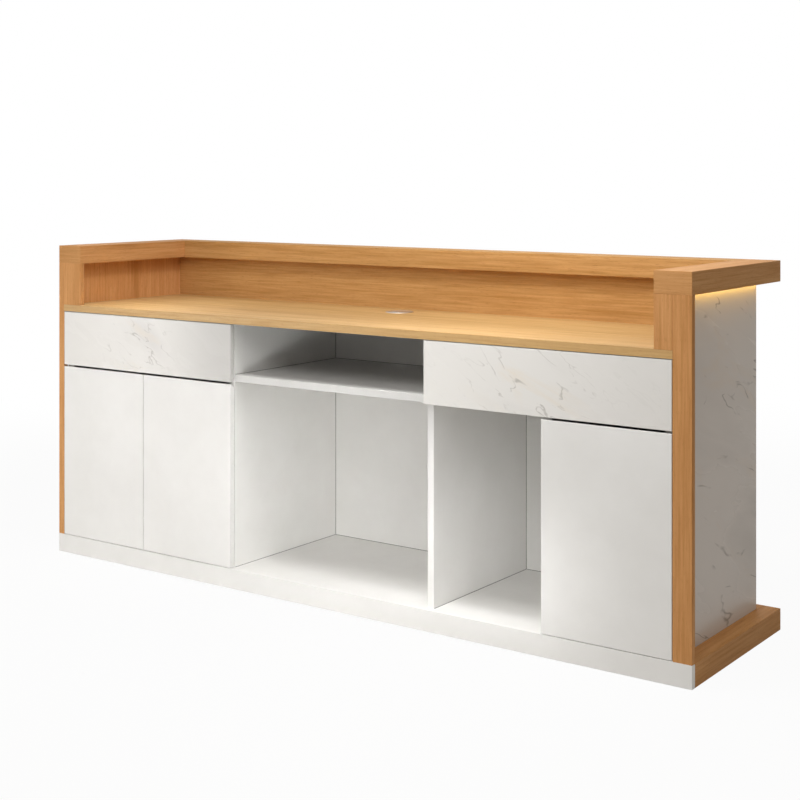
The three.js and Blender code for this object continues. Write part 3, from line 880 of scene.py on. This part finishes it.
beads = {
    "leg": 1.6 * mm,
    "frontEase": 2.0 * mm,
    "bays": {
        "knee": {
            "left": "knee_left_panel", "right": "knee_right_panel",
            "floor": "bottom_board", "roof": "knee_shelf",
        },
        "niche": {
            "left": "knee_right_panel", "right": "niche_partition",
            "floor": "bottom_board", "roof": "right_mid_board",
        },
        "shelf": {
            "left": "knee_left_panel", "right": "knee_right_panel",
            "floor": "knee_shelf", "roof": "worktop",
        },
    },
    # The beads' grey is painted shadow in the corners
    "tones": ((0.27, 0.265, 0.25), (0.33, 0.325, 0.31)),
    "cloudy": {"perMetre": 250.0, "detail": 2.0, "roughness": 0.5},
    "roughness": 0.6,
}


# One bead of triangular section, from start to end, with its legs along the two boards
def addBead(shape, start, end, first, second):
    outline = [start, start + first * beads["leg"], start + second * beads["leg"]]
    extrudeOutline(shape, outline, end - start)


def addBayBeads(bay, boards):
    leftFace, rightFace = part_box(boards["left"])[1].x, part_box(boards["right"])[0].x
    floor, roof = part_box(boards["floor"])[1].z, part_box(boards["roof"])[0].z
    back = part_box("back_panel")[0].y
    front = max(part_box(boards[side])[0].y for side in ("left", "right", "floor"))
    front += beads["frontEase"]
    shape = bmesh.new()
    start, end = Vector((leftFace, back, floor)), Vector((rightFace, back, floor))
    addBead(shape, start, end, -inwards, up)
    for face, inside in ((leftFace, rightwards), (rightFace, -rightwards)):
        start, end = Vector((face, back, floor + beads["leg"])), Vector((face, back, roof))
        addBead(shape, start, end, -inwards, inside)
        start, end = Vector((face, front, floor)), Vector((face, back - beads["leg"], floor))
        addBead(shape, start, end, up, inside)
    addPiece("corner_beads_" + bay, shape, paintedShadowBeads, "desk")


# Grey material of the corner beads, painted shadow lines
paintedShadowBeads = cloudyPolymer("paintedShadowBeads", beads)[0]
for bay, boards in beads["bays"].items():
    addBayBeads(bay, boards)
print("corner beads laid")


# Floor, world and lamps

studio = {
    "floorSize": 60.0,
    "floorColour": (0.50, 0.49, 0.475),
    "floorRoughness": 0.9,
    "floorGlow": (0.95, 1.0),
    "floorFade": (2.2, 4.5),
    "worldAim": (0.0, -0.20, 1.0),
    "worldSpan": (-0.2, 1.0),
    "worldLight": (0.0, 0.65),
    "worldTint": (1.0, 0.965, 0.92),
}

studioLamps = {
    "topLamp": {"place": (0.35, -1.0, 3.3), "aim": (0.0, 0.0, 0.5), "size": 0.8, "power": 9.1},
    "deskLamp": {"place": (0.5, -0.75, 2.6), "aim": (0.5, -0.3, 0.8), "size": 0.6, "power": 22.4},
    "rightLamp": {"place": (1.0, -2.2, 2.4), "aim": (-0.2, 0.0, 0.5), "size": 0.9, "power": 17.2},
    "leftLamp": {"place": (-1.9, -1.9, 0.6), "aim": (-1.0, -0.3, 0.45), "size": 0.9, "power": 13.3},
    "sideLamp": {"place": (3.6, -0.6, 1.9), "aim": (1.2, 0.0, 0.45), "size": 1.5, "power": 3.0},
    "backLamp": {"place": (-1.4, 3.6, 0.42), "aim": (0.0, 0.3, 0.5), "size": 1.2, "power": 60.0},
    "leftSpot": {
        "place": (-0.85, -0.55, 2.4), "aim": (-0.85, -0.25, 0.87),
        "size": 0.15, "power": 0.48, "spread": 30,
    },
    "rightSpot": {
        "place": (0.45, -0.6, 2.4), "aim": (0.45, -0.30, 0.87),
        "size": 0.15, "power": 0.62, "spread": 42,
    },
    "lowLamp": {
        "place": (1.1, -1.65, 0.24), "aim": (-0.40, 0.0, 0.32),
        "size": 0.4, "power": 1.1, "spread": 44,
    },
    "nicheLamp": {
        "place": (1.25, -1.15, 0.20), "aim": (0.42, -0.02, 0.20),
        "size": 0.25, "power": 0.16, "spread": 32,
    },
}


# A mask that is 1 where the camera looks straight on, by a reflection or through a clear pad
def seenByCamera(tree):
    path = addNode(tree, "LightPath")
    seen = calculate(tree, "MAXIMUM", path.outputs["Is Camera Ray"], path.outputs["Is Glossy Ray"])
    return calculate(tree, "MAXIMUM", seen, path.outputs["Is Transmission Ray"])


# The floor looks white, a little less so near the desk, and keeps the desk's shadow there
def paleFloor(name):
    material, tree, shader = startMaterial(name)
    shader.inputs["Base Color"].default_value = (*studio["floorColour"], 1)
    shader.inputs["Roughness"].default_value = studio["floorRoughness"]
    shader.inputs["Specular IOR Level"].default_value = 0.0
    glow = addNode(tree, "Emission", {"Strength": 1.0})
    away = calculateVector(tree, "LENGTH", addNode(tree, "TexCoord").outputs["Object"])
    fade = remap(tree, away, studio["floorFade"], studio["floorGlow"], smooth=True)
    share = calculate(tree, "MULTIPLY", seenByCamera(tree), fade)
    mixed = addNode(tree, "MixShader", {0: share, 1: shader.outputs[0], 2: glow.outputs[0]})
    tree.links.new(mixed.outputs[0], tree.nodes["Material Output"].inputs["Surface"])
    return material


def addFloor():
    mesh = bpy.data.meshes.new("floor")
    shape = bmesh.new()
    bmesh.ops.create_grid(shape, x_segments=1, y_segments=1, size=studio["floorSize"] / 2)
    shape.to_mesh(mesh)
    shape.free()
    mesh.materials.append(paleFloor("paleFloor"))
    floor = bpy.data.objects.new("floor", mesh)
    bpy.context.scene.collection.objects.link(floor)


# The world is white to the camera, and lights the desk softly from above
def lightWorld():
    world = bpy.data.worlds.new("studio")
    bpy.context.scene.world = world
    world.use_nodes = True
    tree = world.node_tree
    heading = addNode(tree, "TexCoord").outputs["Generated"]
    aim = Vector(studio["worldAim"]).normalized()
    towards = calculateVector(tree, "DOT_PRODUCT", heading, aim)
    soft = remap(tree, towards, studio["worldSpan"], studio["worldLight"], smooth=True)
    light = addNode(tree, "Background", {"Color": (*studio["worldTint"], 1), "Strength": soft})
    white = addNode(tree, "Background", {"Color": (1, 1, 1, 1), "Strength": 1.0})
    inputs = {0: seenByCamera(tree), 1: light.outputs[0], 2: white.outputs[0]}
    shown = addNode(tree, "MixShader", inputs)
    tree.links.new(shown.outputs[0], tree.nodes["World Output"].inputs["Surface"])


def addLamp(name, place, aim, size, power, spread=180):
    lamp = bpy.data.lights.new(name, "AREA")
    lamp.size = size
    lamp.energy = power
    lamp.spread = math.radians(spread)
    lampObject = bpy.data.objects.new(name, lamp)
    lampObject.location = place
    heading = Vector(aim) - Vector(place)
    lampObject.rotation_euler = heading.to_track_quat("-Z", "Y").to_euler()
    bpy.context.scene.collection.objects.link(lampObject)


addFloor()
lightWorld()
for name, lamp in studioLamps.items():
    addLamp(name, **lamp)
print("studio lit")


# Camera: level, with its frame shifted down to the desk as a view camera's is

viewCamera = {
    "place": (2.7697, -3.7012, 1.3131),
    "turn": 34.924,
    "sensor": 36.0,
    "lens": 65.12,
    "shift": (-0.0413, -0.2812),
}


def addCamera():
    data = bpy.data.cameras.new("viewCamera")
    data.sensor_width = viewCamera["sensor"]
    data.lens = viewCamera["lens"]
    data.shift_x, data.shift_y = viewCamera["shift"]
    camera = bpy.data.objects.new("viewCamera", data)
    camera.location = viewCamera["place"]
    camera.rotation_euler = (math.radians(90), 0, math.radians(viewCamera["turn"]))
    bpy.context.scene.collection.objects.link(camera)
    bpy.context.scene.camera = camera


addCamera()
bpy.context.scene.view_settings.view_transform = "Standard"
